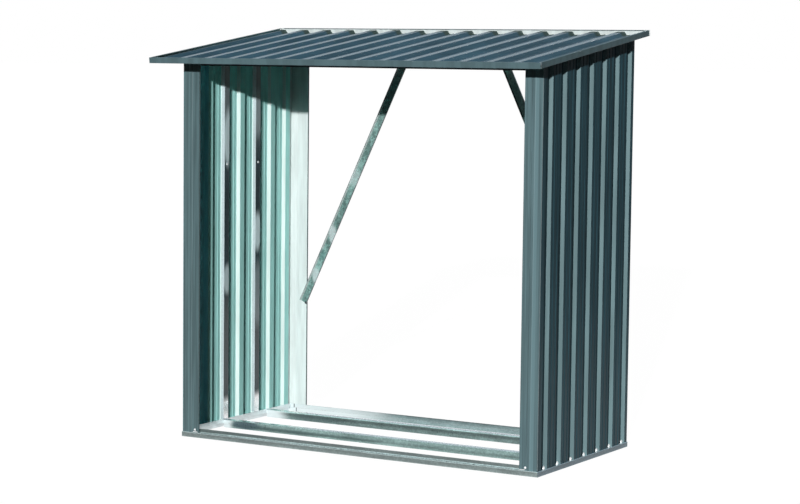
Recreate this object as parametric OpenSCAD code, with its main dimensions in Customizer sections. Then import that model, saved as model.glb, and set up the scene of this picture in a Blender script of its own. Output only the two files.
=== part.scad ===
// Open log store of folded and roll-formed steel sheet.
// Two walls, a lean-to roof falling to the front, a low base frame and two rear braces.
// Millimetres. X runs along the front, Y to the rear, Z up. Origin under the middle, on the floor.

/* [Roof] */
// Height of the top of the front trim above the floor
front_height = 1439; // [1200:1:1700]
// Fall of the roof from rear to front, in degrees
roof_slope = 7.8; // [4:0.1:12]
// How far the roof stands out in front of the base frame
front_overhang = 137; // [30:1:200]
// How far the roof stands out behind the base frame
rear_overhang = 7; // [6:0.5:40]
// How far the roof stands out on each side of the base frame
side_overhang = 55; // [30:0.5:90]
// How far the sheet's crests lie below the top edge of the trims
crest_drop = 6.5; // [4:0.5:10]

/* [Base frame] */
// Width of the base frame over its rims
base_width = 1520; // [1200:1:1800]
// Depth of the base frame over its rims
base_depth = 748; // [600:1:900]
// Height of the outer rim that carries the posts and walls
rim_height = 19; // [14:0.5:26]
// Width of the ledge between the rim and the upstand
ledge_width = 16; // [16:0.5:20]
// Height of the upstand behind the posts and walls
upstand_height = 33; // [28:0.5:45]
// Thickness of the base frame's sheet
base_sheet = 1.5; // [1:0.1:2]
// Height of the bearers that hold the logs off the floor
bearer_height = 30; // [20:1:34]
// Width of the bearers' top and bottom flanges
bearer_flange = 28; // [20:1:50]
// Front bearer's web, measured back from the front rim
front_bearer_y = 255; // [180:1:320]
// Rear bearer's web, measured back from the front rim
rear_bearer_y = 557; // [480:1:620]
// Where the two lengths of the front bearer meet, right of the middle
bearer_joint_x = 372; // [200:1:500]

/* [Profiled sheet] */
// Distance from one rib to the next
pitch = 107.5; // [100:0.5:114]
// Width of the broad flats: outward on the walls, the pans of the roof
broad_flat = 62; // [58:0.5:65]
// Run of each sloping flank between the flats
flank_run = 8.5; // [6:0.5:9]
// Depth from the broad flats to the narrow flats
profile_depth = 12.5; // [10:0.5:12.5]
// Depth of the two stiffening grooves along each broad flat
groove_depth = 1.5; // [0.5:0.1:2]
// Width of the bottom of those grooves
groove_width = 4; // [3:0.5:6]
// Distance between the two grooves
groove_spacing = 28; // [22:0.5:32]
// Thickness of the profiled sheet
sheet = 1; // [0.6:0.1:1]
// Start of the first whole broad flat on the walls, behind the front rim
first_flat = 78.4; // [72:0.1:80]
// Narrowest part flat at the walls' rear ends
least_end_flat = 14; // [10:1:20]

/* [Wall stiffeners] */
// Rib of each wall that the front stiffener covers, counted from the front
stiffened_rib = 3; // [2:1:4]
// Ribs from the front stiffener to the rear one
stiffener_step = 2; // [1:1:2]
// How far the stiffeners' edges reach down the ribs' flanks
stiffener_edge = 9; // [5:0.5:9.5]
// Thickness of the stiffeners
stiffener_sheet = 1; // [0.8:0.1:1.2]

/* [Posts and rails] */
// How far the posts' faces stand back from the rim's face
post_inset = 4; // [3:0.5:5]
// Face width of the front posts
front_post_face = 71; // [60:1:90]
// Face width of the rear posts
rear_post_face = 86; // [60:1:90]
// Distance that the posts' side legs stop short of the wall sheet's nearest flank
leg_clearance = 1.4; // [1:0.1:3]
// Depth of the turned edge on the inner side of each post
post_lip = 8; // [8:0.5:12]
// Start of the raised rib on the posts' faces, from the outer corner
post_rib_start = 26; // [20:0.5:30]
// Width of that rib over its flanks
post_rib_width = 16; // [10:0.5:22]
// Height of that rib
post_rib_height = 2; // [1:0.1:2.5]
// Thickness of the posts, headers and rails
frame_sheet = 1.2; // [0.8:0.1:1.2]
// Depth of the front header's web
front_header_web = 28; // [20:1:50]
// Depth of the rear header's web, to which the braces are bolted
rear_header_web = 64; // [50:1:90]
// Width of the headers' and top rails' flanges under the roof
top_flange = 24; // [16:1:30]
// Depth of the top rails' webs
top_rail_web = 30; // [20:1:40]

/* [Roof trims] */
// Thickness of the trims
trim_sheet = 1.2; // [0.8:0.1:1.5]
// Width of the trims' top lip
trim_top_lip = 8; // [6:0.5:12]
// Width of the trims' bottom lip, on which the sheet's edge rests
trim_bottom_lip = 20; // [14:0.5:24]
// Open gap at each roof corner between the side trims and the front and rear ones
corner_gap = 7; // [4:0.5:10]

/* [Rear braces] */
// Width of each brace
brace_width = 35; // [25:1:40]
// Depth of the braces' turned edges
brace_edge = 6; // [4:0.5:8]
// Middle of each brace's lower end, outside the rear post's inner edge
brace_foot_out = 15; // [8:0.5:30]
// Lower end of each brace, above the floor
brace_foot_z = 455; // [300:1:600]
// Upper end of each brace, out from the middle
brace_head_x = 192; // [60:1:300]
// Upper end of each brace, above the rear header's lower edge
brace_head_up = 21; // [12:0.5:26]
// Thickness of the braces
brace_sheet = 1.5; // [1:0.1:2]

/* [Fits] */
// Clearance between pieces that meet
fit = 0.3; // [0.2:0.05:0.4]

/* [Hidden] */

roof_width = base_width + 2 * side_overhang;
roof_depth = base_depth + front_overhang + rear_overhang;
roof_y = -roof_depth / 2;
base_y = roof_y + front_overhang;
base_end = base_y + base_depth;
half_base = base_width / 2;
half_roof = roof_width / 2;
narrow_flat = pitch - broad_flat - 2 * flank_run;
roof_ribs = floor(2 * (half_roof - trim_sheet - 1) / pitch) + 1;
wall_flats = floor((base_depth - post_inset - least_end_flat - first_flat) / pitch);

// Depths below the roof's top plane, square to the slope
pan_under = crest_drop + profile_depth + sheet;
trim_height = pan_under + fit + trim_sheet;
slope_length = (roof_depth - trim_height * sin(roof_slope)) / cos(roof_slope);

// Outer planes of the wall sheet, the posts and the valleys' inner side, from the middle
wall_x = half_base - 2;
post_x = wall_x - sheet - fit;
wall_inner_x = wall_x - profile_depth - sheet;
front_face_y = base_y + post_inset;
rear_face_y = base_end - post_inset;
brace_y = rear_face_y - post_lip - fit;

// Height to which posts and walls are drawn before the roof cuts them
raw_top = front_height + (base_end - roof_y) * tan(roof_slope);

galvanised = [0.62, 0.68, 0.68];
anthracite = [0.27, 0.33, 0.36];

// Folded sheet: the path is the outside face and the thickness goes to its left
function unit(v) = v / norm(v);
function left_of(v) = [-v[1], v[0]];
function side(p, i) = left_of(unit(p[i + 1] - p[i]));
function shifted(p, i, d) =
  let (a = side(p, max(i - 1, 0)), b = side(p, min(i, len(p) - 2)), m = unit(a + b)) p[i] + m * d / (m * a);
function between(p, near, far) =
  concat([for (i = [0 : len(p) - 1]) shifted(p, i, near)],
         [for (i = [len(p) - 1 : -1 : 0]) shifted(p, i, far)]);
function folded(p, d) = between(p, 0, d);

// Height of the plane that lies d below the roof's top, at the given y
function roof_z(y, d) = front_height + (y - roof_y) * tan(roof_slope) - d / cos(roof_slope);

module along_x(x0, x1) {
  translate([x0, 0, 0]) rotate([90, 0, 90]) linear_extrude(x1 - x0) children();
}

module along_y(y0, y1) {
  translate([0, y1, 0]) rotate([90, 0, 0]) linear_extrude(y1 - y0) children();
}

module on_roof() {
  translate([0, roof_y, front_height]) rotate([roof_slope, 0, 0]) children();
}

// Takes off everything above the underside of the roof sheet, or above a depth below it
module under_roof(depth = 0) {
  difference() {
    children();
    on_roof()
      translate([-roof_width, -100, -pan_under - fit - depth])
        cube([2 * roof_width, slope_length + 200, 400]);
  }
}

// Base rails: rim, ledge and upstand, mitred at the corners
rail_path = [[0, 0], [0, rim_height], [ledge_width, rim_height], [ledge_width, upstand_height]];
mitre = ledge_width + 2 * base_sheet;

module rail_section() {
  polygon(folded(rail_path, -base_sheet));
}

module base_front_rail() {
  color(galvanised)
    intersection() {
      translate([0, base_y, 0]) along_x(-half_base, half_base) rail_section();
      translate([0, base_y, -1])
        linear_extrude(upstand_height + 2)
          polygon([[-half_base + fit / 2, 0], [half_base - fit / 2, 0],
                   [half_base - fit / 2 - mitre, mitre], [-half_base + fit / 2 + mitre, mitre]]);
    }
}

module base_rear_rail() {
  translate([0, base_y + base_end, 0]) mirror([0, 1, 0]) base_front_rail();
}

module base_left_rail() {
  color(galvanised)
    intersection() {
      translate([-half_base, 0, 0]) along_y(base_y, base_end) rail_section();
      translate([-half_base, 0, -1])
        linear_extrude(upstand_height + 2)
          polygon([[0, base_y + fit / 2], [mitre, base_y + fit / 2 + mitre],
                   [mitre, base_end - fit / 2 - mitre], [0, base_end - fit / 2]]);
    }
}

module base_right_rail() {
  mirror([1, 0, 0]) base_left_rail();
}

// Bearers: channels lying with their webs to the front
bearer_end = half_base - ledge_width - base_sheet - fit;
bearer_path = [[bearer_flange, 0], [0, 0], [0, bearer_height], [bearer_flange, bearer_height]];

module bearer(y, x0, x1) {
  color(galvanised)
    translate([0, base_y + y, 0]) along_x(x0, x1) polygon(folded(bearer_path, -base_sheet));
}

module front_bearer_left() {
  bearer(front_bearer_y, -bearer_end, bearer_joint_x - fit / 2);
}

module front_bearer_right() {
  bearer(front_bearer_y, bearer_joint_x + fit / 2, bearer_end);
}

module rear_bearer() {
  bearer(rear_bearer_y, -bearer_end, bearer_end);
}

// Posts: a side leg, a face with one raised rib and a turned inner edge
function post_path(face, leg) =
  [[0, leg], [0, 0], [-post_rib_start, 0], [-post_rib_start - post_rib_height, -post_rib_height],
   [-post_rib_start - post_rib_width + post_rib_height, -post_rib_height],
   [-post_rib_start - post_rib_width, 0], [-face, 0], [-face, post_lip]];

// Legs lie behind the wall sheet's part flats
front_post_leg = first_flat - pitch + broad_flat - post_inset - leg_clearance;
rear_post_leg = base_depth - post_inset - first_flat - wall_flats * pitch - leg_clearance;

module post(face, leg) {
  linear_extrude(raw_top - rim_height) polygon(folded(post_path(face, leg), -frame_sheet));
}

module front_right_post() {
  color(anthracite)
    under_roof() translate([post_x, front_face_y, rim_height]) post(front_post_face, front_post_leg);
}

module front_left_post() {
  mirror([1, 0, 0]) front_right_post();
}

module rear_right_post() {
  color(anthracite)
    under_roof()
      translate([post_x, rear_face_y, rim_height]) mirror([0, 1, 0]) post(rear_post_face, rear_post_leg);
}

module rear_left_post() {
  mirror([1, 0, 0]) rear_right_post();
}

// Stiffening grooves along a broad flat that starts at s, as distance and depth
function grooves(s) =
  let (w = groove_width / 2, m = s + broad_flat / 2)
    [for (g = [m - groove_spacing / 2, m + groove_spacing / 2])
       each [[g - w - 2 * groove_depth, 0], [g - w, -groove_depth], [g + w, -groove_depth],
             [g + w + 2 * groove_depth, 0]]];

// Wall sheet: broad flats outward, both ends on a part flat
function wall_line() =
  let (a = first_flat, n = wall_flats, gap = pitch - broad_flat)
    concat([[post_inset, 0], [a - gap, 0], [a - gap + flank_run, -profile_depth],
            [a - flank_run, -profile_depth]],
           [for (k = [0 : n - 1])
              let (s = a + k * pitch)
                each concat([[s, 0]], grooves(s),
                            [[s + broad_flat, 0], [s + broad_flat + flank_run, -profile_depth],
                             [s + pitch - flank_run, -profile_depth]])],
           [[a + n * pitch, 0], [base_depth - post_inset, 0]]);

module right_wall() {
  color(anthracite)
    under_roof()
      translate([0, 0, rim_height])
        linear_extrude(raw_top - rim_height)
          polygon(folded([for (p = wall_line()) [wall_x + p[1], base_y + p[0]]], sheet));
}

module left_wall() {
  mirror([1, 0, 0]) right_wall();
}

// Stiffeners: channels over the inner side of one rib, from the base's upstand to the top rail
function rib_wrap(middle) =
  let (half = narrow_flat / 2, run = stiffener_edge * flank_run / profile_depth)
    [[middle - half - run, stiffener_edge - profile_depth], [middle - half, -profile_depth],
     [middle + half, -profile_depth], [middle + half + run, stiffener_edge - profile_depth]];

module right_stiffener(rib) {
  middle = first_flat + (rib - 1) * pitch - flank_run - narrow_flat / 2;
  seat = sheet + fit;
  color(galvanised)
    under_roof(top_rail_web + fit)
      translate([0, 0, upstand_height + fit])
        linear_extrude(raw_top - upstand_height)
          polygon(between([for (p = rib_wrap(middle)) [wall_x + p[1], base_y + p[0]]],
                          seat, seat + stiffener_sheet));
}

module right_front_stiffener() {
  right_stiffener(stiffened_rib);
}

module right_rear_stiffener() {
  right_stiffener(stiffened_rib + stiffener_step);
}

module left_front_stiffener() {
  mirror([1, 0, 0]) right_front_stiffener();
}

module left_rear_stiffener() {
  mirror([1, 0, 0]) right_rear_stiffener();
}

// Headers: a web between the posts' turned edges and a flange under the roof sheet
function header_path(y, web, run) =
  let (d = pan_under + fit)
    [[y, roof_z(y, d) - web], [y, roof_z(y, d)], [y + run, roof_z(y + run, d)]];

front_header_y = front_face_y + post_lip - frame_sheet;
front_header_end = post_x - front_post_face - fit;
rear_header_y = rear_face_y - post_lip + frame_sheet;
rear_header_end = post_x - rear_post_face - fit;

module front_header() {
  color(anthracite)
    along_x(-front_header_end, front_header_end)
      polygon(folded(header_path(front_header_y, front_header_web, top_flange), -frame_sheet));
}

module rear_header() {
  color(anthracite)
    along_x(-rear_header_end, rear_header_end)
      polygon(folded(header_path(rear_header_y, rear_header_web, -top_flange), frame_sheet));
}

// Top rails: angles along the inner side of the walls, under the roof sheet
module left_top_rail() {
  x = wall_inner_x - fit;
  d = pan_under + fit;
  y0 = (front_face_y + frame_sheet + fit - roof_y) / cos(roof_slope);
  y1 = (rear_face_y - frame_sheet - fit - roof_y - (d + top_rail_web) * sin(roof_slope)) / cos(roof_slope);
  color(anthracite)
    on_roof()
      along_y(y0, y1)
        polygon(folded([[-x, -d - top_rail_web], [-x, -d], [top_flange - x, -d]], -frame_sheet));
}

module right_top_rail() {
  mirror([1, 0, 0]) left_top_rail();
}

// Roof sheets: narrow flats up, each later sheet lapping one rib of the sheet to its left
rib_0 = -(roof_ribs - 1) / 2 * pitch;
crest = narrow_flat / 2;
lap_rise = sheet + fit;

// Path from the right flank of rib i to the left flank of rib i + 1
function pan_line(i) =
  let (s = rib_0 + i * pitch + crest + flank_run)
    concat([[s, -profile_depth]], [for (g = grooves(s)) [g[0], -profile_depth - g[1]]],
           [[s + broad_flat, -profile_depth]]);

// Whole ribs between two pans
function rib_line(i) = [[rib_0 + i * pitch - crest, 0], [rib_0 + i * pitch + crest, 0]];

function roof_line(from, to) =
  let (edge = half_roof - trim_sheet - 1, a = rib_0 + from * pitch, b = rib_0 + to * pitch)
    concat(from == 0 ? [[-edge, 0], [a + crest, 0]]
                     : [[a - crest, lap_rise], [a + crest + fit, lap_rise]],
           [for (i = [from : to - 1]) each concat(pan_line(i), i < to - 1 ? rib_line(i + 1) : [])],
           to == roof_ribs - 1 ? [[b - crest, 0], [edge, 0]] : [[b - crest, 0], [b + crest - sheet, 0]]);

module roof_sheet(from, to) {
  color(anthracite)
    on_roof()
      translate([0, 0, -crest_drop])
        along_y(trim_sheet + 1, slope_length - trim_sheet - 1)
          polygon(folded(roof_line(from, to), -sheet));
}

first_lap = floor((roof_ribs - 1) / 3);
second_lap = floor((roof_ribs - 1) * 2 / 3);

module roof_sheet_left() {
  roof_sheet(0, first_lap);
}

module roof_sheet_middle() {
  roof_sheet(first_lap, second_lap);
}

module roof_sheet_right() {
  roof_sheet(second_lap, roof_ribs - 1);
}

// Trims: channels open towards the sheet, whose edges lie inside them
module trim_section(overhang) {
  lip = min(trim_bottom_lip, overhang - 1);
  polygon(folded([[trim_top_lip, 0], [0, 0], [0, -trim_height], [lip, -trim_height]], trim_sheet));
}

// End notch that leaves only the face of a front or rear trim beside the side trims
module trim_notch() {
  translate([half_roof - trim_bottom_lip - fit, trim_sheet, -trim_height - 1])
    cube([trim_bottom_lip + 1, trim_bottom_lip, trim_height + 2]);
}

module cross_trim(overhang) {
  color(anthracite)
    difference() {
      along_x(-half_roof, half_roof) trim_section(overhang);
      trim_notch();
      mirror([1, 0, 0]) trim_notch();
    }
}

module front_trim() {
  on_roof() cross_trim(front_overhang + post_inset);
}

module rear_trim() {
  on_roof() translate([0, slope_length, 0]) mirror([0, 1, 0]) cross_trim(rear_overhang + post_inset);
}

module left_trim() {
  color(anthracite)
    on_roof()
      translate([-half_roof, 0, 0])
        along_y(trim_sheet + corner_gap, slope_length - trim_sheet - corner_gap)
          trim_section(side_overhang + half_base - wall_x);
}

module right_trim() {
  mirror([1, 0, 0]) left_trim();
}

// Braces: shallow channels from the rear posts up to the rear header
brace_path = [[-brace_width / 2, -brace_edge], [-brace_width / 2, 0], [brace_width / 2, 0],
              [brace_width / 2, -brace_edge]];
brace_foot_x = post_x - rear_post_face + brace_foot_out;
brace_head_z = roof_z(rear_header_y, pan_under + fit) - rear_header_web + brace_head_up;
brace_run = [brace_foot_x - brace_head_x, brace_head_z - brace_foot_z];

module left_brace() {
  color(galvanised)
    translate([-brace_foot_x, brace_y, brace_foot_z])
      rotate([0, atan(brace_run[0] / brace_run[1]), 0])
        linear_extrude(norm(brace_run)) polygon(folded(brace_path, -brace_sheet));
}

module right_brace() {
  mirror([1, 0, 0]) left_brace();
}

base_front_rail();
base_rear_rail();
base_left_rail();
base_right_rail();
front_bearer_left();
front_bearer_right();
rear_bearer();
front_left_post();
front_right_post();
rear_left_post();
rear_right_post();
left_wall();
right_wall();
left_front_stiffener();
left_rear_stiffener();
right_front_stiffener();
right_rear_stiffener();
front_header();
rear_header();
left_top_rail();
right_top_rail();
roof_sheet_left();
roof_sheet_middle();
roof_sheet_right();
front_trim();
rear_trim();
left_trim();
right_trim();
left_brace();
right_brace();
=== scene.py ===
import math

import bmesh
import bpy
from mathutils import Matrix, Vector


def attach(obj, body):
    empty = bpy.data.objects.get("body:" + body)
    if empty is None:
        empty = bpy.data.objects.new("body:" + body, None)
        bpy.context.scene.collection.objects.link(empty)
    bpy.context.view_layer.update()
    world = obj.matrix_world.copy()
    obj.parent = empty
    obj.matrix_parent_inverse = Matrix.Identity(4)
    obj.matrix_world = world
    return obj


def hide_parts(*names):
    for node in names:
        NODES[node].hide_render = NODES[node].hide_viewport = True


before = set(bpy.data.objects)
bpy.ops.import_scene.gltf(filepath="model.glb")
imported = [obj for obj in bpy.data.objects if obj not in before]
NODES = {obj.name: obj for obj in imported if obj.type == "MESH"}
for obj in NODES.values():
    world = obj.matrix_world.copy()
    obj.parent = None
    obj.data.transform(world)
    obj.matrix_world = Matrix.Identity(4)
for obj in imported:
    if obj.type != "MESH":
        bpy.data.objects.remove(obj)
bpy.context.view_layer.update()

LEFT, RIGHT, FRONT, REAR, UP = (
    Vector(v) for v in ((-1, 0, 0), (1, 0, 0), (0, -1, 0), (0, 1, 0), (0, 0, 1)))

# Sizes of the store, in metres, as in the part's source
BASE_Y = -0.309
ROOF_Y = -0.446
FRONT_HEIGHT = 1.439
SLOPE = math.radians(7.8)
LEDGE_HEIGHT = 0.019
PITCH = 0.1075
BROAD_FLAT = 0.062
FLANK_RUN = 0.0085
PROFILE_DEPTH = 0.0125
FIRST_FLAT = 0.0784
SHEET = 0.001
WALL_X = 0.758
WALL_RIBS = 7
ROOF_RIBS = 16
CREST_DROP = 0.0065
POST_X = 0.7567
FRONT_FACE_Y = -0.305
REAR_FACE_Y = 0.435
FRONT_POST = 0.071
REAR_POST = 0.086
BRACE_Y = 0.4252
BRACE_FOOT = Vector((0.6857, BRACE_Y, 0.455))
BRACE_HEAD = Vector((0.192, BRACE_Y, 1.4953))
REAR_HEADER_Y = 0.416

NARROW_FLAT = PITCH - BROAD_FLAT - 2 * FLANK_RUN
ROOF_UP = Vector((0, -math.sin(SLOPE), math.cos(SLOPE)))
BRACE_RUN = (BRACE_HEAD - BRACE_FOOT).normalized()

# Camera, as the photograph was taken: from the front right, a little above, slightly rolled
VIEW_AZIMUTH, VIEW_ELEVATION, VIEW_ROLL = (math.radians(a) for a in (30.351, 5.068, 0.645))
VIEW = Vector((-math.sin(VIEW_AZIMUTH), math.cos(VIEW_AZIMUTH), 0))
VIEW_TARGET = Vector((0.0025, 0.0224, 0.7233))
VIEW_DISTANCE = 8.451
LENS, SENSOR_WIDTH = 101.52, 36
CLIP_NEAR, CLIP_FAR = 0.1, 500


def photo_camera():
    back = -VIEW * math.cos(VIEW_ELEVATION) + UP * math.sin(VIEW_ELEVATION)
    level = Vector((math.cos(VIEW_AZIMUTH), math.sin(VIEW_AZIMUTH), 0))
    right = math.cos(VIEW_ROLL) * level + math.sin(VIEW_ROLL) * back.cross(level)
    up = back.cross(right)
    data = bpy.data.cameras.new("photo_camera")
    data.lens, data.sensor_width = LENS, SENSOR_WIDTH
    data.clip_start, data.clip_end = CLIP_NEAR, CLIP_FAR
    camera = bpy.data.objects.new("photo_camera", data)
    turned = Matrix((right, up, back)).transposed().to_4x4()
    camera.matrix_world = Matrix.Translation(VIEW_TARGET + back * VIEW_DISTANCE) @ turned
    bpy.context.scene.collection.objects.link(camera)
    bpy.context.scene.camera = camera


# Shader maths: a wrapped socket takes part in Python expressions
class Value:
    def __init__(self, shader, socket):
        self.shader, self.socket = shader, socket

    def math(self, operation, a, b=None):
        inputs = {0: a} if b is None else {0: a, 1: b}
        return self.shader.value("ShaderNodeMath", {"operation": operation}, inputs)

    def __add__(self, other):
        return self.math("ADD", self, other)

    def __radd__(self, other):
        return self.math("ADD", other, self)

    def __sub__(self, other):
        return self.math("SUBTRACT", self, other)

    def __rsub__(self, other):
        return self.math("SUBTRACT", other, self)

    def __mul__(self, other):
        return self.math("MULTIPLY", self, other)

    def __rmul__(self, other):
        return self.math("MULTIPLY", other, self)

    def __truediv__(self, other):
        return self.math("DIVIDE", self, other)

    def __pow__(self, other):
        return self.math("POWER", self, other)

    def __abs__(self):
        return self.math("ABSOLUTE", self)


# The nodes of one material or of the world
class Shader:
    def __init__(self, tree):
        self.tree = tree
        tree.nodes.clear()

    def node(self, kind, settings=None, inputs=None):
        made = self.tree.nodes.new(kind)
        for name, setting in (settings or {}).items():
            if name == "stops":
                self.stops(made.color_ramp, setting)
            else:
                setattr(made, name, setting)
        for name, given in (inputs or {}).items():
            self.feed(made.inputs[name], given)
        return made

    def stops(self, ramp, stops):
        while len(ramp.elements) < len(stops):
            ramp.elements.new(1.0)
        for element, (position, colour) in zip(ramp.elements, stops):
            element.position = position
            element.color = (*colour, 1)

    def feed(self, socket, given):
        if isinstance(given, Value):
            self.tree.links.new(given.socket, socket)
        elif isinstance(given, tuple) and len(given) == 3 and socket.type == "RGBA":
            socket.default_value = (*given, 1)
        else:
            socket.default_value = given

    def value(self, kind, settings=None, inputs=None, output=0):
        return Value(self, self.node(kind, settings, inputs).outputs[output])

    def place(self, scale=(1, 1, 1), centre=(0, 0, 0)):
        where = self.value("ShaderNodeTexCoord", output="Object")
        return self.value("ShaderNodeMapping", {"vector_type": "POINT"},
                          {"Vector": where, "Location": centre, "Scale": scale})

    def axes(self):
        where = self.value("ShaderNodeTexCoord", output="Object")
        split = self.node("ShaderNodeSeparateXYZ", None, {0: where})
        return [Value(self, socket) for socket in split.outputs]

    def noise(self, scale, detail, roughness, stretch=(1, 1, 1), centre=(0, 0, 0)):
        return self.value("ShaderNodeTexNoise", {"noise_dimensions": "3D"},
                          {"Vector": self.place(stretch, centre), "Scale": scale, "Detail": detail,
                           "Roughness": roughness})

    def ramp(self, factor, *stops):
        return self.value("ShaderNodeValToRGB", {"stops": stops}, {0: factor})

    def span(self, factor, low, high, to_low=0.0, to_high=1.0):
        return self.value("ShaderNodeMapRange", {"interpolation_type": "SMOOTHSTEP"},
                          {"Value": factor, "From Min": low, "From Max": high, "To Min": to_low,
                           "To Max": to_high})

    def mix(self, factor, a, b, blend="MIX"):
        return self.value("ShaderNodeMix", {"data_type": "RGBA", "blend_type": blend},
                          {"Factor": factor, 6: a, 7: b}, output=2)

    def plain(self, kind, colour):
        return self.value("ShaderNode" + kind, None, {"Color": colour})

    def blend(self, factor, a, b):
        return self.value("ShaderNodeMixShader", None, {0: factor, 1: a, 2: b})

    def bump(self, height, strength, distance):
        return self.value("ShaderNodeBump", None,
                          {"Strength": strength, "Distance": distance, "Height": height})

    def surface(self, **inputs):
        names = {"colour": "Base Color", "roughness": "Roughness", "metallic": "Metallic",
                 "normal": "Normal", "specular": "Specular IOR Level"}
        given = {names[name]: value for name, value in inputs.items()}
        surface = self.node("ShaderNodeBsdfPrincipled", None, given)
        self.node("ShaderNodeOutputMaterial", None, {0: Value(self, surface.outputs[0])})


def material(name):
    made = bpy.data.materials.new(name)
    made.use_nodes = True
    return made, Shader(made.node_tree)


# The colour, lighter or darker by a share
def shaded(colour, share):
    return tuple(share * c for c in colour)


# Stretch of the patterns along the way that streaks and rolling marks run
UPRIGHT = (1, 1, 0.1)
LONG_STREAKS = (1, 1, 0.02)
DOWN_SLOPE = (1, 0.1, 1)
ALONG_FRONT = (0.15, 1, 1)
ALONG_SIDE = (1, 0.15, 1)

# Scales of the patterns, and how far the waves stand, in metres
PAINT_GRAIN, PAINT_PATCHES, PAINT_WAVES = 420.0, 2.3, 5.0
BACK_GRAIN, BACK_STREAKS, BACK_WAVES = 300.0, 34.0, 6.0
ZINC_STREAKS, ZINC_CLOUDS = 60.0, 9.0
WAVE_STRENGTH, WAVE_HEIGHT = 0.3, 0.002


def waves(s, scale, run, grain, centre=(0, 0, 0)):
    rolled = s.noise(scale, 1.0, 0.4, run, centre) * 3.0
    return s.bump(rolled + grain * 0.02, WAVE_STRENGTH, WAVE_HEIGHT)


# Painted steel: coating with slight waviness, streaks along the rolling and fine grain. Behind
# shaded_from it is duller and rougher, a painted shade, and it may have an upright painted
# highlight stripe, as (middle, half width, gain)
SHADED_END, SHADED_RUN = (0.075, 0.115, 0.105), 0.02


def painted(name, colour, roughness=0.42, specular=0.3, run=UPRIGHT, streak=26.0, depth=0.13,
            uneven=0.08, shaded_from=None, highlight_stripe=None):
    made, s = material(name)
    streaks = s.noise(streak, 3.0, 0.6, run)
    grain = s.noise(PAINT_GRAIN, 2.0, 0.6)
    patches = s.noise(PAINT_PATCHES, 3.0, 0.55)
    shade = s.mix(s.span(streaks, 0.35, 0.65), shaded(colour, 1 - depth), shaded(colour, 1 + depth))
    shade = s.mix(s.span(patches, 0.35, 0.75, 0.0, 0.3), shade, shaded(colour, 0.85))
    rough = roughness + 0.08 * (grain - 0.5) + uneven * (streaks - 0.5)
    if shaded_from is not None:
        end = s.span(s.axes()[1], shaded_from, shaded_from + SHADED_RUN)
        shade, rough = s.mix(end, shade, SHADED_END), rough + end * 0.5
    if highlight_stripe is not None:
        middle, half, gain = highlight_stripe
        aside = abs(s.axes()[0] - middle)
        shade = s.mix(s.span(aside, half * 0.6, half, 1.0, 0.0), shade, shaded(colour, gain))
    s.surface(colour=shade, roughness=rough, metallic=0.0, specular=specular,
              normal=waves(s, PAINT_WAVES, run, grain, (3, 1, 7)))
    return made


# Pale coat on the reverse of the sheets, thin enough to streak
def backing(name, colour, run=UPRIGHT):
    made, s = material(name)
    streaks = s.noise(BACK_STREAKS, 3.0, 0.6, run)
    grain = s.noise(BACK_GRAIN, 2.0, 0.6)
    shade = s.mix(s.span(streaks, 0.3, 0.7), shaded(colour, 0.9), shaded(colour, 1.08))
    s.surface(colour=shade, roughness=0.36 + 0.1 * streaks, metallic=0.0, specular=0.08,
              normal=waves(s, BACK_WAVES, run, grain))
    return made


# Tints of the painted reflections, highlights and shade on zinc, and of a dark joint line
BRIGHT, PALE, WHITE = (0.80, 0.89, 0.90), (0.80, 0.97, 1.0), (1.0, 1.0, 1.0)
DARK, DULL, EDGE_HIGHLIGHT = (0.03, 0.05, 0.055), (0.17, 0.175, 0.17), (0.50, 0.56, 0.55)

# Edges of a brace: a painted highlight along the outer one and painted shade along the inner one,
# across it from its middle line
OUTER_EDGE = (-0.014, -0.0085)
INNER_EDGE = (0.0118, 0.0138)


def brace_edges(s, shade, x, z):
    inward = (BRACE_FOOT.x - x) * BRACE_RUN.z + (z - BRACE_FOOT.z) * BRACE_RUN.x
    shade = s.mix(s.span(inward, *OUTER_EDGE, 0.9, 0.0), shade, EDGE_HIGHLIGHT)
    return s.mix(s.span(inward, *INNER_EDGE, 0.0, 0.95), shade, DARK)


# Hot-dip galvanised steel: fine crystals and lengthwise streaks in a dull film. The tones, painted
# reflections and highlights by height, give its top, then shares of the height with the share of
# the colour there. Painted light patches, of painted reflection and painted shade, lie over places,
# each as (centre, half size, share, tint). Below the height polished it is more metallic and
# brighter
POLISHED_METAL, POLISHED_RUN = 0.8, 0.03


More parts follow.
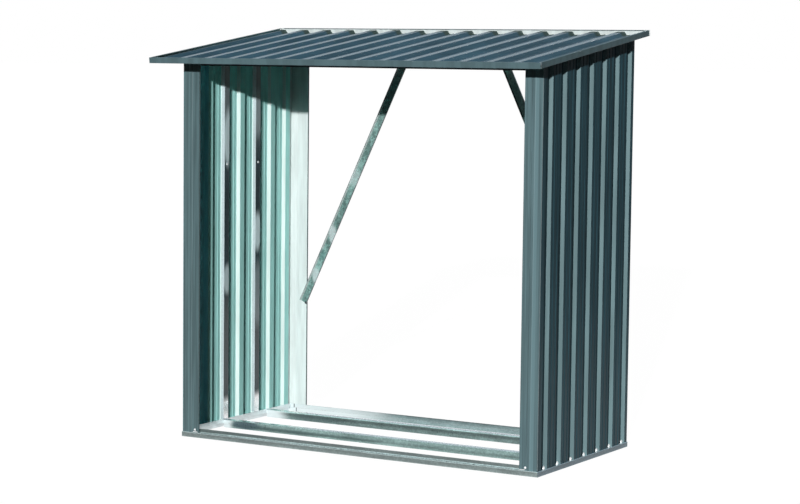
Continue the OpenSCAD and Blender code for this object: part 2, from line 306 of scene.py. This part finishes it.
def zinc(name, colour, spread=0.35, scale=260.0, metallic=0.25, roughness=0.32, run=ALONG_FRONT,
         tones=None, painted_light_patches=(), edged=False, dents=1.0, polished=None):
    made, s = material(name)
    cells = s.node("ShaderNodeTexVoronoi", {"feature": "F1"}, {"Vector": s.place(), "Scale": scale})
    split = s.node("ShaderNodeSeparateColor", None, {0: Value(s, cells.outputs["Color"])})
    crystal, sheen = (Value(s, socket) for socket in split.outputs[:2])
    streaks = s.noise(ZINC_STREAKS, 3.0, 0.6, run)
    cloud = s.noise(ZINC_CLOUDS, 3.0, 0.6, run)
    x, y, z = s.axes()
    full = 1.0
    if tones:
        top, *steps = tones
        full = max(share for _, share in steps)
        height_tone = s.ramp(z / top, *((at, (share / full,) * 3) for at, share in steps))
    grain = crystal * 0.3 + streaks * 0.9 + cloud * 0.8 - 0.5
    low, high = 1 - spread, 1 + 1.6 * spread
    shade = s.ramp(grain, (0.1, shaded(colour, full * low)), (0.5, shaded(colour, full)),
                   (0.9, shaded(colour, full * high)))
    if tones:
        shade = s.mix(1.0, shade, height_tone, "MULTIPLY")
    if edged:
        x = abs(x)
        shade = brace_edges(s, shade, x, z)
    for centre, half, share, tint in painted_light_patches:
        gaps = [abs(axis - at) / size for axis, at, size in zip((x, y, z), centre, half)]
        near = (gaps[0] ** 2.0 + gaps[1] ** 2.0 + gaps[2] ** 2.0) ** 0.5 + (cloud - 0.5) * 0.9
        shade = s.mix(s.span(near, 0.55, 1.15, share, 0.0), shade, tint)
    rough = roughness + 0.08 * (sheen - 0.5) + 0.12 * (cloud - 0.5)
    if polished is not None:
        metallic = s.span(z, polished, polished + POLISHED_RUN, POLISHED_METAL, metallic)
    s.surface(colour=shade, roughness=rough, metallic=metallic, specular=0.4,
              normal=s.bump(cloud * 2.0 + crystal * 0.03, WAVE_STRENGTH * dents, WAVE_HEIGHT))
    return made


# Paints of the posts, walls, roof, trims and rails
# Behind this the roof paints are duller: a painted shade of the rear trim
REAR_TRIM_SHADE = 0.395
# Painted highlight stripes on the front posts, as (middle, half width, gain)
LEFT_HIGHLIGHT_STRIPE, RIGHT_HIGHLIGHT_STRIPE = (-0.7300, 0.0055, 1.28), (0.7340, 0.0090, 1.36)
post_paint = painted("post_paint", (0.103, 0.178, 0.192), run=LONG_STREAKS, streak=130.0,
                     depth=0.32)
# Lit and shaded copies of one paint on the front posts: the right one lighter and bluer, the left
# one darker and greener
front_post_paints = {
    "left": painted("front_left_post_paint", (0.098, 0.162, 0.173), run=LONG_STREAKS,
                    streak=130.0, depth=0.25, highlight_stripe=LEFT_HIGHLIGHT_STRIPE),
    "right": painted("front_right_post_paint", (0.112, 0.186, 0.203), run=LONG_STREAKS,
                     streak=130.0, depth=0.2, highlight_stripe=RIGHT_HIGHLIGHT_STRIPE)}
wall_paint = painted("wall_paint", (0.031, 0.080, 0.100), roughness=0.4, specular=0.10,
                     run=LONG_STREAKS, streak=90.0, depth=0.35)
# The ribs' flanks take a lighter copy of the wall paint: a painted highlight
wall_flank_highlight = painted("wall_flank_highlight", (0.150, 0.243, 0.260), roughness=0.4)
roof_paint = painted("roof_paint", (0.056, 0.136, 0.190), roughness=0.3, specular=0.12,
                     run=DOWN_SLOPE, streak=12.0, depth=0.25, shaded_from=REAR_TRIM_SHADE)
# The roof's crowns take a lighter, glossier copy of the roof paint: a painted reflection of the sky
roof_crown_reflection = painted("roof_crown_reflection", (0.14, 0.19, 0.22), roughness=0.2, specular=0.5,
                           run=DOWN_SLOPE, streak=15.0, depth=0.85, uneven=0.5,
                           shaded_from=REAR_TRIM_SHADE)
trim_paint = painted("trim_paint", (0.104, 0.172, 0.190))
rail_paint = painted("rail_paint", (0.030, 0.055, 0.062))
nut_black = painted("nut_black", (0.012, 0.016, 0.018), roughness=0.4)

# Pale coats on the reverse sides
back_coat = backing("back_coat", (0.49, 0.93, 0.88))
# The ribs' flanks take a paler copy of the back coat: a painted highlight
back_flank_highlight = backing("back_flank_highlight", (0.78, 0.93, 0.90))
# A darker, bluer copy of the back coat: painted shade from the front post, inside the left wall
front_shaded_coat = backing("front_shaded_coat", (0.32, 0.80, 0.88))
post_back_coat = backing("post_back_coat", (0.73, 0.80, 0.79))
# A darker copy of the back coat under the roof and inside its trims: painted shade
roof_shaded_back_coat = backing("roof_shaded_back_coat", (0.30, 0.56, 0.53), DOWN_SLOPE)

# Zinc of the base rails and bearers, with painted reflections and highlight lines by height, from
# the ground up
BEARER_TOP, RAIL_TOP = 0.030, 0.033
BEARER_TONES = (BEARER_TOP, (0.0, 1.3), (0.10, 1.15), (0.32, 1.10), (0.46, 0.85), (0.58, 0.62),
                (0.70, 0.55), (0.82, 0.75), (0.90, 1.3), (0.94, 3.9))
FRONT_BEARER_TONES = (BEARER_TOP, (0.0, 1.6), (0.10, 1.35), (0.22, 1.0), (0.32, 0.78),
                      (0.45, 0.92), (0.60, 1.25), (0.72, 1.4), (0.90, 1.3), (0.97, 2.2))
RAIL_TONES = (RAIL_TOP, (0.0, 1.7), (0.12, 1.15), (0.40, 1.0), (0.49, 1.05), (0.53, 2.6),
              (0.62, 2.6), (0.67, 0.85), (0.82, 0.72), (0.92, 0.75), (1.0, 1.0))
REAR_TONES = (RAIL_TOP, (0.0, 1.3), (0.6, 1.3), (0.85, 1.0), (0.93, 0.7), (1.0, 0.7))

# Half size of a painted light patch that takes in the whole piece
EVERYWHERE = 9.0
# A darker painted reflection along the top of the front rail's left part
base_zinc = zinc("base_zinc", (0.19, 0.235, 0.232), tones=RAIL_TONES, painted_light_patches=[
    ((-0.60, 0, 0.027), (0.24, EVERYWHERE, 0.007), 0.45, (0.05, 0.08, 0.075))])
# The rear rail is brighter towards its left end, a painted reflection, with a thin dark line at its
# joint with the left rail
rear_rail_zinc = zinc("rear_rail_zinc", (0.205, 0.285, 0.29), tones=REAR_TONES, painted_light_patches=[
    ((-0.75, 0.44, 0.02), (0.50, EVERYWHERE, EVERYWHERE), 1.0, BRIGHT),
    ((-0.724, 0.43, 0.02), (0.003, EVERYWHERE, EVERYWHERE), 0.8, DARK)])
# The left rail is near-white, a painted reflection, with a painted dark patch near the front
left_rail_zinc = zinc(
    "left_rail_zinc", (0.86, 0.93, 0.94), spread=0.06, scale=60.0, metallic=0.6, roughness=0.36,
    run=ALONG_SIDE, dents=0.2, painted_light_patches=[((-0.74, -0.30, 0.02), (1, 0.1, 1), 0.7, DARK)])
# The right rail is a darker copy of the zinc: a painted dark reflection
right_rail_zinc = zinc("right_rail_zinc", (0.125, 0.185, 0.22), run=ALONG_SIDE, tones=RAIL_TONES)
# Rear bearer: brighter at its left end and with a dark band further along, painted reflections
bearer_zinc = zinc("bearer_zinc", (0.17, 0.25, 0.242), spread=0.5, tones=BEARER_TONES, painted_light_patches=[
    ((-0.75, 0, 0), (0.11, EVERYWHERE, EVERYWHERE), 0.95, BRIGHT),
    ((-0.52, 0, 0.014), (0.12, EVERYWHERE, 0.014), 0.5, (0.045, 0.08, 0.085))])
# Front bearer: brighter at its left end and with dark patches along it, painted reflections
front_bearer_zinc = zinc(
    "front_bearer_zinc", (0.168, 0.25, 0.24), spread=0.5, tones=FRONT_BEARER_TONES, painted_light_patches=[
        ((-0.75, 0, 0), (0.05, EVERYWHERE, EVERYWHERE), 0.95, BRIGHT),
        ((-0.64, 0, 0.016), (0.07, EVERYWHERE, 0.016), 0.75, (0.04, 0.075, 0.10)),
        ((-0.35, 0, 0.012), (0.36, EVERYWHERE, 0.006), 0.5, (0.05, 0.10, 0.095)),
        ((0.70, 0, 0.016), (0.15, EVERYWHERE, 0.014), 0.7, (0.05, 0.08, 0.08))])
# Level tops take a near-white copy of the zinc: a painted reflection
flat_zinc = zinc("flat_zinc", (0.74, 0.80, 0.80), spread=0.15, metallic=0.75, roughness=0.26)

# Zinc of the braces, with painted reflections and painted shade up their length
BRACE_STREAKS = (1, 1, 0.3)
brace_zinc = zinc(
    "brace_zinc", (0.215, 0.355, 0.33), spread=0.65, scale=130.0, metallic=0.3, roughness=0.3,
    run=BRACE_STREAKS, edged=True, painted_light_patches=[
        ((0.626, 0.42, 0.565), (0.022, 1, 0.040), 0.75, BRIGHT),
        ((0.548, 0.42, 0.735), (0.020, 1, 0.045), 0.75, BRIGHT),
        ((0.450, 0.42, 0.97), (0.040, 1, 0.050), 0.4, BRIGHT),
        ((0.280, 0.42, 1.30), (0.060, 1, 0.100), 0.6, (0.04, 0.13, 0.13)),
        ((0.600, 0.42, 0.65), (0.020, 1, 0.030), 0.5, (0.06, 0.18, 0.17))])

# Zinc of the stiffener strips, with painted reflections: a bright band at the top, a dull band
# lower down, pale patches and a white foot. A patch is given as (offset from the strip's middle,
# height, half height, share)
STIFFENER_X, FRONT_STIFFENER_Y, REAR_STIFFENER_Y = -0.743, -0.038, 0.177
PATCH_ACROSS, FOOT_TOP = 0.030, 0.085


def stiffener_finish(row, middle, patches):
    painted_light_patches = [((STIFFENER_X, middle, 1.45), (1, EVERYWHERE, 0.36), 0.20, BRIGHT),
              ((STIFFENER_X, middle, 0.30), (1, EVERYWHERE, 0.22), 0.3, DULL)]
    for aside, z, half, share in patches:
        painted_light_patches.append(((STIFFENER_X, middle + aside, z), (1, PATCH_ACROSS, half), share, PALE))
    painted_light_patches.append(((STIFFENER_X, middle, 0.060), (1, EVERYWHERE, 0.062), 1.0, WHITE))
    return zinc(f"{row}_stiffener_zinc", (0.030, 0.056, 0.068), spread=0.5, scale=240.0,
                metallic=0.05, roughness=0.22, run=UPRIGHT, painted_light_patches=painted_light_patches, polished=FOOT_TOP)


stiffener_zincs = {
    "front": stiffener_finish("front", FRONT_STIFFENER_Y, [(0.004, 1.13, 0.11, 1.0),
                                                           (0.004, 0.58, 0.06, 0.8)]),
    "rear": stiffener_finish("rear", REAR_STIFFENER_Y, [(-0.002, 0.755, 0.08, 1.0),
                                                        (0.0, 1.22, 0.10, 0.3),
                                                        (0.0, 0.50, 0.14, 0.3)])}
# The strips' flanks take a paler copy of the zinc: a painted highlight
stiffener_flank_zinc = zinc("stiffener_flank_zinc", (0.42, 0.51, 0.53), spread=0.15,
                            scale=240.0, metallic=0.2, roughness=0.35, run=UPRIGHT)

# Zinc of cut edges and fasteners
FINE_SCALE = 400.0
cut_edge = zinc("cut_edge", (0.30, 0.35, 0.36), spread=0.2)
bolt_zinc = zinc("bolt_zinc", (0.20, 0.30, 0.29), spread=0.2, scale=FINE_SCALE, metallic=0.5,
                 roughness=0.3)
# Near-white zinc of the base bolts and tabs: partly a painted glint of the sun
tab_zinc = zinc("tab_zinc", (0.92, 0.95, 0.95), spread=0.05, scale=FINE_SCALE, metallic=0.1,
                roughness=0.3)
screw_zinc = zinc("screw_zinc", (0.76, 0.80, 0.81), spread=0.15, scale=FINE_SCALE, metallic=0.5,
                  roughness=0.3)


# Folded sheets: each is its CAD solid with rounded folds and its own finish on either side
MERGE_DISTANCE = 2e-6
FLAT_ANGLE = math.radians(0.5)
LEAST_FOLD = math.radians(12)
RIM_WIDTH = 0.00175
LONG_EDGE = 0.2
FACING, FACING_UP = 0.8, 0.95
CROWN_HEIGHT = -CREST_DROP - 0.003
THICK_FOLD, THIN_FOLD, SHEET_FOLD = 0.0016, 0.0014, 0.0012
OUTSIDE, INSIDE, CUT_EDGE, OTHERS = range(4)


# Mean width of a face; a sheet's cut edges are its narrow faces
def width_of(face):
    return 2 * face.calc_area() / face.calc_perimeter()


# Faces joined over their long edges make one skin of the sheet
def skins_of(faces):
    skins, left = [], set(faces)
    while left:
        skin, todo = set(), [left.pop()]
        while todo:
            face = todo.pop()
            skin.add(face)
            shortest = LONG_EDGE * face.calc_perimeter()
            long_edges = [e for e in face.edges if e.calc_length() > shortest]
            near = {g for e in long_edges for g in e.link_faces} & left
            left -= near
            todo += near
        skins.append(skin)
    return skins


# chosen(face) picks one of the others for a face, or None. Where there are several others, a
# face of the inner skin takes the one after it
def dress(node, outward, outside, inside, fold, others=(), chosen=lambda face: None):
    bm = bmesh.new()
    bm.from_mesh(NODES[node].data)
    bmesh.ops.remove_doubles(bm, verts=bm.verts, dist=MERGE_DISTANCE)
    bmesh.ops.dissolve_limit(bm, angle_limit=FLAT_ANGLE, verts=bm.verts, edges=bm.edges)
    bm.normal_update()
    rims = {f for f in bm.faces if width_of(f) < RIM_WIDTH}
    skins = skins_of(set(bm.faces) - rims)
    outer = max(skins, key=lambda skin: sum(f.calc_area() * max(0, f.normal.dot(outward)) ** 4
                                            for f in skin))
    for face in bm.faces:
        other = chosen(face)
        if face in rims:
            face.material_index = CUT_EDGE
        elif other is None:
            face.material_index = OUTSIDE if face in outer else INSIDE
        else:
            face.material_index = OTHERS + other + (len(others) > 1 and face not in outer)
    folds = [e for e in bm.edges if len(e.link_faces) == 2 and not rims & set(e.link_faces)
             and e.is_convex and e.calc_face_angle() > LEAST_FOLD]
    bmesh.ops.bevel(bm, geom=folds, offset=fold, offset_type="OFFSET", segments=3, profile=0.5,
                    affect="EDGES", material=-1, clamp_overlap=True)
    return piece_from(bm, node + "_sheet", [outside, inside, cut_edge, *others], node)


def piece_from(bm, name, finishes, node=None):
    mesh = bpy.data.meshes.new(name)
    bm.to_mesh(mesh)
    bm.free()
    for finish in finishes:
        mesh.materials.append(finish)
    piece = bpy.data.objects.new(name, mesh)
    bpy.context.scene.collection.objects.link(piece)
    if node:
        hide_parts(node)
    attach(piece, "root")
    return piece


# Choosers of the other finishes: flanks of the ribs, flat tops, crowns of the roof
def flank_of(way):
    return lambda face: 0 if abs(face.normal.dot(way)) < FACING else None


# Inside the left wall, the sheet from the front up to the second rib takes a darker, bluer coat:
# painted shade from the front post
def left_wall_part(face):
    second_crown = BASE_Y + FIRST_FLAT + PITCH - FLANK_RUN - NARROW_FLAT
    facing = face.normal.dot(LEFT)
    if facing < 0 and face.calc_center_median().y < second_crown:
        return 1
    return 0 if abs(facing) < FACING else None


def level(face):
    return 0 if abs(face.normal.z) > FACING else None


def crown(face):
    height = (face.calc_center_median() - Vector((0, ROOF_Y, FRONT_HEIGHT))).dot(ROOF_UP)
    upward = face.normal.dot(ROOF_UP) > FACING_UP
    return 0 if upward and height > CROWN_HEIGHT else None


for side, out in (("left", LEFT), ("right", RIGHT)):
    dress(f"front_{side}_post", FRONT, front_post_paints[side], post_back_coat,
          THICK_FOLD)
    dress(f"rear_{side}_post", REAR, post_paint, post_back_coat, THICK_FOLD)
    dress(f"{side}_wall", out, wall_paint, back_coat, SHEET_FOLD,
          (wall_flank_highlight, back_flank_highlight, front_shaded_coat),
          left_wall_part if side == "left" else flank_of(out))
    for row, finish in stiffener_zincs.items():
        dress(f"{side}_{row}_stiffener", -out, finish, finish, THIN_FOLD,
              (stiffener_flank_zinc,), flank_of(out))
    dress(f"{side}_top_rail", -out, rail_paint, back_coat, THIN_FOLD)
    dress(f"{side}_trim", out, trim_paint, roof_shaded_back_coat, THICK_FOLD)
    dress(f"{side}_brace", FRONT, brace_zinc, brace_zinc, THICK_FOLD)
    dress(f"front_bearer_{side}", FRONT, front_bearer_zinc, front_bearer_zinc,
          THIN_FOLD, (flat_zinc,), level)
for part in ("left", "middle", "right"):
    dress(f"roof_sheet_{part}", UP, roof_paint, roof_shaded_back_coat, SHEET_FOLD,
          (roof_crown_reflection,), crown)
dress("front_trim", FRONT, trim_paint, roof_shaded_back_coat, THICK_FOLD)
dress("rear_trim", REAR, trim_paint, post_back_coat, THICK_FOLD)
dress("front_header", FRONT, rail_paint, back_coat, THIN_FOLD)
dress("rear_header", REAR, rail_paint, back_coat, THIN_FOLD)
for rail, way, finish in (("front", FRONT, base_zinc), ("rear", REAR, rear_rail_zinc),
                          ("left", LEFT, left_rail_zinc), ("right", RIGHT, right_rail_zinc)):
    dress(f"base_{rail}_rail", way, finish, finish, THIN_FOLD, (flat_zinc,), level)
dress("rear_bearer", FRONT, bearer_zinc, bearer_zinc, THIN_FOLD, (flat_zinc,),
      level)


# Screws and bolts: a domed head, or a washer with a bevelled hexagon, standing on a surface
WASHER_HEIGHT, WASHER_TAPER = 0.0011, 0.86
HEXAGON_BEVEL = 0.0005


def standing(place, way):
    return Matrix.Translation(place) @ Vector(way).to_track_quat("Z", "Y").to_matrix().to_4x4()


def bevel_edges(bm, made, offset):
    edges = list({e for v in made["verts"] for e in v.link_edges})
    bmesh.ops.bevel(bm, geom=edges, offset=offset, segments=2, profile=0.5, affect="EDGES",
                    material=-1)


def hexagon_head(bm, place, way, across=0.008, height=0.0036, washer=0.0062):
    seat = standing(place, way)
    bmesh.ops.create_cone(bm, cap_ends=True, segments=16, radius1=washer,
                          radius2=washer * WASHER_TAPER, depth=WASHER_HEIGHT,
                          matrix=seat @ Matrix.Translation((0, 0, WASHER_HEIGHT / 2)))
    corner = across / math.sqrt(3)
    raised = Matrix.Translation((0, 0, WASHER_HEIGHT + height / 2))
    made = bmesh.ops.create_cone(bm, cap_ends=True, segments=6, radius1=corner, radius2=corner,
                                 depth=height, matrix=seat @ raised)
    bevel_edges(bm, made, HEXAGON_BEVEL)


def domed_head(bm, place, way, radius=0.0058, height=0.0034):
    squash = Matrix.Diagonal((radius, radius, height, 1))
    made = bmesh.ops.create_uvsphere(bm, u_segments=14, v_segments=8, radius=1,
                                     matrix=standing(place, way) @ squash)
    parts = {p for v in made["verts"] for p in (v, *v.link_edges, *v.link_faces)}
    bmesh.ops.bisect_plane(bm, geom=list(parts), plane_co=Vector(place), plane_no=Vector(way),
                           clear_inner=True)


def rib_middle(rib):
    return BASE_Y + FIRST_FLAT + rib * PITCH - FLANK_RUN - NARROW_FLAT / 2


def on_roof(x, along, depth):
    return Vector((x, ROOF_Y + along * math.cos(SLOPE) + depth * math.sin(SLOPE),
                   FRONT_HEIGHT + along * math.sin(SLOPE) - depth * math.cos(SLOPE)))


def pan_screw_place(x, y):
    depth = CREST_DROP + PROFILE_DEPTH
    return on_roof(x, (y - ROOF_Y - depth * math.sin(SLOPE)) / math.cos(SLOPE), depth)


def rounded(bm):
    for face in bm.faces:
        face.smooth = True
    return bm


# Heights and insets of the bolts that hold walls and posts to the base
WALL_BOLT_HEIGHT, POST_BOLT_HEIGHT = 0.0225, 0.0292
WALL_BOLT_INSET, WALL_BOLT_ASIDE = 0.002, 0.001
FRONT_BOLT_INSETS = {-1: 0.016, 1: 0.0245}
REAR_BOLT_INSET = 0.016


def base_bolts():
    bm = bmesh.new()
    pan_x = WALL_X - PROFILE_DEPTH + WALL_BOLT_INSET
    for side in (-1, 1):
        for rib in range(WALL_RIBS):
            y = rib_middle(rib) + NARROW_FLAT / 2 + WALL_BOLT_ASIDE
            domed_head(bm, (side * pan_x, y, WALL_BOLT_HEIGHT), (side, 0, 0), radius=0.0075,
                       height=0.0055)
        front_x = POST_X - (FRONT_POST - FRONT_BOLT_INSETS[side])
        rear_x = POST_X - REAR_POST + REAR_BOLT_INSET
        domed_head(bm, (side * front_x, FRONT_FACE_Y, POST_BOLT_HEIGHT), FRONT, radius=0.005,
                   height=0.003)
        domed_head(bm, (side * rear_x, REAR_FACE_Y, POST_BOLT_HEIGHT), REAR)
    return piece_from(rounded(bm), "base_bolts", [tab_zinc])


# One screw in each stiffener strip
STIFFENED_RIBS = (2, 4)
STIFFENER_SCREW_HEIGHT, SCREW_SINK = 1.030, 0.0003


def stiffener_screws():
    bm = bmesh.new()
    seat = WALL_X - PROFILE_DEPTH - 2 * SHEET - SCREW_SINK
    for side in (-1, 1):
        for rib in STIFFENED_RIBS:
            domed_head(bm, (side * seat, rib_middle(rib), STIFFENER_SCREW_HEIGHT), (-side, 0, 0),
                       radius=0.0052, height=0.003)
    return piece_from(rounded(bm), "stiffener_screws", [screw_zinc])


# A bolt near each end of a brace, and a small nut at the corner of its foot
BRACE_BOLT_FROM_END = 0.017
FOOT_NUT_OFFSET = Vector((-0.0125, 0, -0.0035))


def brace_bolts():
    bm = bmesh.new()
    inset = BRACE_RUN * BRACE_BOLT_FROM_END
    for side in (-1, 1):
        for place in (BRACE_FOOT + inset, BRACE_HEAD - inset):
            hexagon_head(bm, (side * place.x, place.y, place.z), FRONT, height=0.003)
    return piece_from(bm, "brace_bolts", [bolt_zinc])


def brace_foot_nuts():
    bm = bmesh.new()
    corner = BRACE_FOOT + FOOT_NUT_OFFSET
    for side in (-1, 1):
        hexagon_head(bm, (side * corner.x, corner.y, corner.z), FRONT, across=0.0065,
                     height=0.003, washer=0.0055)
    return piece_from(bm, "brace_foot_nuts", [nut_black])


# One screw in every other pan, in a row over the rear header
def roof_screws():
    bm = bmesh.new()
    for pan in range(0, ROOF_RIBS - 1, 2):
        x = (pan + 0.5 - (ROOF_RIBS - 1) / 2) * PITCH
        hexagon_head(bm, pan_screw_place(x, REAR_HEADER_Y), ROOF_UP)
    return piece_from(bm, "roof_screws", [screw_zinc])


# A small tab before the foot of each post, just above the base's ledge
TAB_SIZE = (0.021, 0.0028, 0.0026)
TAB_INSET, TAB_PROUD, TAB_LIFT, TAB_BEVEL = 0.013, 0.0016, 0.0026, 0.0006


def post_tabs():
    bm = bmesh.new()
    size = Matrix.Diagonal((*TAB_SIZE, 1))
    for side in (-1, 1):
        for post, face_y, way in ((FRONT_POST, FRONT_FACE_Y, -1), (REAR_POST, REAR_FACE_Y, 1)):
            x = side * (POST_X - post + TAB_INSET)
            middle = (x, face_y + way * TAB_PROUD, LEDGE_HEIGHT + TAB_LIFT)
            made = bmesh.ops.create_cube(bm, size=1, matrix=Matrix.Translation(middle) @ size)
            bevel_edges(bm, made, TAB_BEVEL)
    return piece_from(bm, "post_tabs", [tab_zinc])


for make in (base_bolts, stiffener_screws, brace_bolts, brace_foot_nuts, roof_screws, post_tabs):
    make()


# Stage: pale floor and backdrop, white where the photograph's camera looks, and three lamps
GREY, WHITE_FLOOR, WHITE_WALL = (0.25,) * 3, (1.12,) * 3, (1.0,) * 3
DARK_MATT, PALE_MATT = (0.01,) * 3, (0.6,) * 3
PALE_BLUE = (0.40, 0.53, 0.62)
AMBIENT, AMBIENT_TINT = 0.006, (0.92, 0.97, 1.0)
FLOOR_RADIUS, FLOOR_DROP = 200.0, 0.0005
FLOOR_GLOW = 0.88

# Where the floor's white fades, in metres: round the store, and in a widening fan behind it
NEAR_FADE = (1.8, 4.0)
FAN_START, FAN_SIDE, FAN_WIDENING = (-2.0, -1.2), (1.9, 3.6), 0.2

# Where the backdrop turns white ahead of the camera, and blue above
AHEAD_FADE, HIGH_FADE = (0.86, 0.95), (0.1, 0.25)


# Rays that show the stage; all others see a dark floor and the faint ambient light
def seen_rays(s):
    path = s.node("ShaderNodeLightPath")
    return sum((Value(s, path.outputs[f"Is {kind} Ray"]) for kind in ("Glossy", "Transmission")),
               Value(s, path.outputs["Is Camera Ray"]))


def floor():
    bm = bmesh.new()
    bmesh.ops.create_circle(bm, cap_ends=True, segments=96, radius=FLOOR_RADIUS)
    mesh = bpy.data.meshes.new("floor")
    bm.to_mesh(mesh)
    bm.free()
    made = bpy.data.objects.new("floor", mesh)
    bpy.context.scene.collection.objects.link(made)
    made.location.z = -FLOOR_DROP
    finish, s = material("floor_paint")
    x, y, _ = s.axes()
    along = x * VIEW.x + y * VIEW.y
    across = x * VIEW.y - y * VIEW.x
    near = s.span((x * x + y * y) ** 0.5, *NEAR_FADE, 1.0, 0.0)
    fan = s.span(abs(across) - along * FAN_WIDENING, *FAN_SIDE, 1.0, 0.0)
    far = fan * s.span(along, *FAN_START)
    white = s.value("ShaderNodeMath", {"operation": "MAXIMUM"}, {0: near, 1: far})
    glow = s.blend(white, s.plain("Emission", GREY), s.plain("Emission", WHITE_FLOOR))
    camera = s.value("ShaderNodeLightPath", output="Is Camera Ray")
    matt = s.blend(camera, s.plain("BsdfDiffuse", DARK_MATT), s.plain("BsdfDiffuse", PALE_MATT))
    seen = s.blend(seen_rays(s) * FLOOR_GLOW, matt, glow)
    s.node("ShaderNodeOutputMaterial", None, {0: seen})
    mesh.materials.append(finish)


def sky():
    world = bpy.data.worlds.new("studio")
    bpy.context.scene.world = world
    world.use_nodes = True
    s = Shader(world.node_tree)
    way = s.value("ShaderNodeTexCoord", output="Generated")
    ahead = s.value("ShaderNodeVectorMath", {"operation": "DOT_PRODUCT"}, {0: way, 1: tuple(VIEW)},
                    output="Value")
    height = Value(s, s.node("ShaderNodeSeparateXYZ", None, {0: way}).outputs[2])
    around = s.blend(s.span(ahead, *AHEAD_FADE), s.plain("Background", GREY),
                     s.plain("Background", WHITE_WALL))
    seen = s.blend(s.span(height, *HIGH_FADE), around, s.plain("Background", PALE_BLUE))
    light = s.plain("Background", shaded(AMBIENT_TINT, AMBIENT))
    s.node("ShaderNodeOutputWorld", None, {0: s.blend(seen_rays(s), light, seen)})


def lamp(name, azimuth, elevation, strength, spread):
    data = bpy.data.lights.new(name, "SUN")
    data.energy, data.angle = strength, math.radians(spread)
    made = bpy.data.objects.new(name, data)
    a, e = math.radians(azimuth), math.radians(elevation)
    towards = Vector((math.sin(a) * math.cos(e), -math.cos(a) * math.cos(e), math.sin(e)))
    made.rotation_euler = towards.to_track_quat("Z", "Y").to_euler()
    bpy.context.scene.collection.objects.link(made)


photo_camera()
floor()
sky()
lamp("key", azimuth=21, elevation=12, strength=3.1, spread=1)
lamp("left_fill", azimuth=264, elevation=12, strength=1.2, spread=2)
lamp("rear_fill", azimuth=190, elevation=22, strength=0.35, spread=4)
bpy.context.scene.view_settings.view_transform = "Standard"
